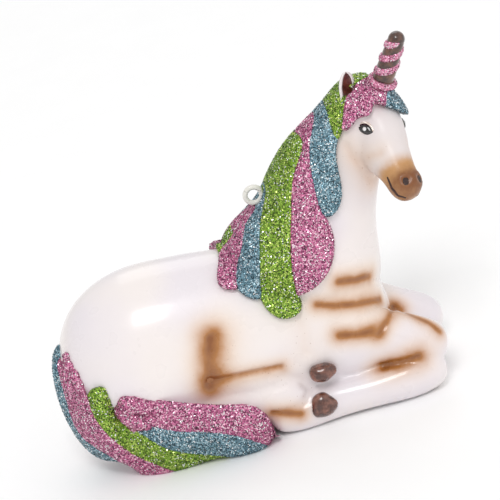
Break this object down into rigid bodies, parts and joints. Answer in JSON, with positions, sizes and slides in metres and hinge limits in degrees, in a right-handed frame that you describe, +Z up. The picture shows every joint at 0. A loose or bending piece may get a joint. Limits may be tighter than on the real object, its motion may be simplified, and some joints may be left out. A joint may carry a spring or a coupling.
{
  "type": "unicorn figurine",
  "caption": "Hollow blown-glass figurine of a lying unicorn with a glitter mane and tail, a striped horn and a small ring at the neck to hang it by.",
  "frame": {"origin": "middle of the flat underside, on the ground plane", "axes": "+X towards the chest and front knees, +Y to the animal's left, +Z up"},
  "size_m": [0.1064, 0.0449, 0.093],
  "materials": {
    "pearl_glass": "pearl white lacquer, high gloss, brown airbrushed shading",
    "green_glitter": "coarse green glitter",
    "pink_glitter": "coarse pink glitter",
    "teal_glitter": "coarse grey-teal glitter",
    "horn_brown": "dark brown gloss lacquer",
    "hoof_brown": "dark brown gloss lacquer",
    "eye_black": "black gloss enamel",
    "eye_white": "white gloss enamel",
    "cap_metal": "metal cap under green glitter",
    "ring_metal": "white coated wire"
  },
  "bodies": {
    "ornament": {"far_ear": "pearl_glass", "far_eye": "eye_black", "far_eye_glint": "eye_white", "far_fore_hoof": "hoof_brown", "far_hind_hoof": "hoof_brown", "far_mane_front_green": "green_glitter", "far_mane_front_pink": "pink_glitter", "far_mane_front_teal": "teal_glitter", "far_mane_low_pink": "pink_glitter", "far_mane_low_teal": "teal_glitter", "far_mane_middle_green": "green_glitter", "far_mane_withers_green": "green_glitter", "forelock_pink": "pink_glitter", "forelock_teal": "teal_glitter", "glass_body": "pearl_glass", "horn": "horn_brown", "horn_collar": "pink_glitter", "horn_stripe": "pink_glitter", "near_ear": "pearl_glass", "near_eye": "eye_black", "near_eye_glint": "eye_white", "near_fore_hoof": "hoof_brown", "near_hind_hoof": "hoof_brown", "near_mane_front_green": "green_glitter", "near_mane_front_pink": "pink_glitter", "near_mane_front_teal": "teal_glitter", "near_mane_low_pink": "pink_glitter", "near_mane_low_teal": "teal_glitter", "near_mane_middle_green": "green_glitter", "near_mane_withers_green": "green_glitter", "tail_green": "green_glitter", "tail_inner_pink": "pink_glitter", "tail_inner_teal": "teal_glitter", "tail_outer_pink": "pink_glitter", "tail_outer_teal": "teal_glitter"},
    "hanger": {"hanger_cap": "cap_metal", "hanger_wire": "ring_metal"}
  },
  "joints": [
    {"name": "hanger_swivel", "type": "hinge", "parent": "ornament", "child": "hanger", "pos_m": [0.0097, 0, 0.05792], "axis": [-0.9877, 0, 0.1564], "continuous": true}
  ]
}
